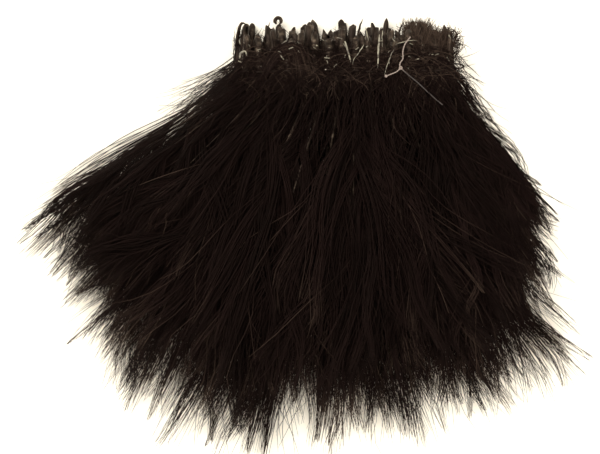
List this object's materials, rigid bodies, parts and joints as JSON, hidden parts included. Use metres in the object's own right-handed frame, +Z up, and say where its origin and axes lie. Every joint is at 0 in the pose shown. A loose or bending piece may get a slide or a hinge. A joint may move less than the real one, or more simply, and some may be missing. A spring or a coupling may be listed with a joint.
{
  "type": "strung marabou feather hank",
  "caption": "Strung marabou hank: dyed down feathers sewn side by side on two threads, folded to and fro into three layers that lift and fan out.",
  "frame": {"origin": "middle of the footprint, on the surface that the hank lies on", "axes": "+X along the row of quills, +Y towards the cut quill ends, +Z up out of the surface"},
  "size_m": [0.2046, 0.1514, 0.0269],
  "materials": {
    "dyed_feather": "matte",
    "cotton_thread": "matte"
  },
  "bodies": {
    "bottom_layer": {"bottom_feather_01": "dyed_feather", "bottom_feather_02": "dyed_feather", "bottom_feather_03": "dyed_feather", "bottom_feather_04": "dyed_feather", "bottom_feather_05": "dyed_feather", "bottom_feather_06": "dyed_feather", "bottom_feather_07": "dyed_feather", "bottom_feather_08": "dyed_feather", "bottom_feather_09": "dyed_feather", "bottom_feather_10": "dyed_feather", "bottom_feather_11": "dyed_feather", "bottom_feather_12": "dyed_feather", "bottom_feather_13": "dyed_feather", "bottom_feather_14": "dyed_feather", "bottom_feather_15": "dyed_feather", "bottom_feather_16": "dyed_feather", "bottom_needle_thread": "cotton_thread", "bottom_looper_thread": "cotton_thread"},
    "right_turn": {"right_turn_thread": "cotton_thread"},
    "middle_layer": {"middle_feather_01": "dyed_feather", "middle_feather_02": "dyed_feather", "middle_feather_03": "dyed_feather", "middle_feather_04": "dyed_feather", "middle_feather_05": "dyed_feather", "middle_feather_06": "dyed_feather", "middle_feather_07": "dyed_feather", "middle_feather_08": "dyed_feather", "middle_feather_09": "dyed_feather", "middle_feather_10": "dyed_feather", "middle_feather_11": "dyed_feather", "middle_feather_12": "dyed_feather", "middle_feather_13": "dyed_feather", "middle_feather_14": "dyed_feather", "middle_feather_15": "dyed_feather", "middle_feather_16": "dyed_feather", "middle_needle_thread": "cotton_thread", "middle_looper_thread": "cotton_thread"},
    "left_turn": {"left_turn_thread": "cotton_thread"},
    "top_layer": {"top_feather_01": "dyed_feather", "top_feather_02": "dyed_feather", "top_feather_03": "dyed_feather", "top_feather_04": "dyed_feather", "top_feather_05": "dyed_feather", "top_feather_06": "dyed_feather", "top_feather_07": "dyed_feather", "top_feather_08": "dyed_feather", "top_feather_09": "dyed_feather", "top_feather_10": "dyed_feather", "top_feather_11": "dyed_feather", "top_feather_12": "dyed_feather", "top_feather_13": "dyed_feather", "top_feather_14": "dyed_feather", "top_feather_15": "dyed_feather", "top_feather_16": "dyed_feather", "top_needle_thread": "cotton_thread", "top_looper_thread": "cotton_thread", "thread_tail": "cotton_thread"}
  },
  "joints": [
    {"name": "middle_layer_swing", "type": "hinge", "parent": "bottom_layer", "child": "right_turn", "pos_m": [0.05367, 0.05973, 0.0004], "axis": [0, 0.0419, 0.9991], "range_deg": [0, 30]},
    {"name": "middle_layer_lift", "type": "hinge", "parent": "right_turn", "child": "middle_layer", "pos_m": [0.017, 0.07323, 0.0056], "axis": [-1, 0, 0], "range_deg": [0, 60]},
    {"name": "top_layer_swing", "type": "hinge", "parent": "middle_layer", "child": "left_turn", "pos_m": [-0.02133, 0.05726, 0.00667], "axis": [0, -0.0837, -0.9965], "range_deg": [0, 30]},
    {"name": "top_layer_lift", "type": "hinge", "parent": "left_turn", "child": "top_layer", "pos_m": [0.017, 0.07073, 0.0112], "axis": [-1, 0, 0], "range_deg": [0, 60]}
  ]
}
